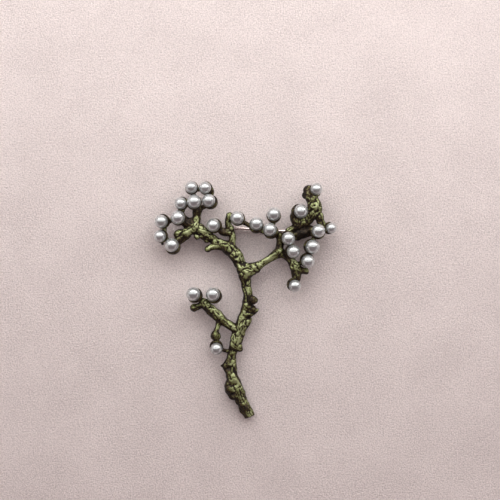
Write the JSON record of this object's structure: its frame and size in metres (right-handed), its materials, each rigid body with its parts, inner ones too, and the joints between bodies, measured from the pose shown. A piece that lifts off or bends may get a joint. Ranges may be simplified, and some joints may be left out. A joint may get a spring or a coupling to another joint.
{
  "type": "tree branch brooch",
  "caption": "Openwork brooch shaped as a gnarled tree branch with forked twigs that end in round cups, each holding a pearl, with a hinged pin on its back.",
  "frame": {"origin": "on the surface that the brooch lies on, under the middle of its outline", "axes": "+Z out of the front, away from the cloth; +Y from the branch's foot to its crown; +X to the right as seen from the front"},
  "size_m": [0.053, 0.0692, 0.0088],
  "materials": {
    "antique_green_metal": "olive green metallic enamel over dark brown recesses",
    "pearl": "silver grey pearlescent gloss",
    "pin_steel": "bright wire with a faint rose tone"
  },
  "bodies": {
    "brooch": {"branch": "antique_green_metal", "pearl_01": "pearl", "pearl_02": "pearl", "pearl_03": "pearl", "pearl_04": "pearl", "pearl_05": "pearl", "pearl_06": "pearl", "pearl_07": "pearl", "pearl_08": "pearl", "pearl_09": "pearl", "pearl_10": "pearl", "pearl_11": "pearl", "pearl_12": "pearl", "pearl_13": "pearl", "pearl_14": "pearl", "pearl_15": "pearl", "pearl_16": "pearl", "pearl_17": "pearl", "pearl_18": "pearl", "pearl_19": "pearl", "pearl_20": "pearl", "pearl_21": "pearl", "pearl_22": "pearl", "pearl_23": "pearl", "pearl_24": "pearl", "pearl_25": "pearl", "pearl_26": "pearl"},
    "pin": {"pin_stem": "pin_steel"}
  },
  "joints": [
    {"name": "pin_hinge", "type": "hinge", "parent": "brooch", "child": "pin", "pos_m": [-0.00493, 0.02123, 0.001], "axis": [0.0613, 0.9981, 0], "range_deg": [0, 95]}
  ]
}
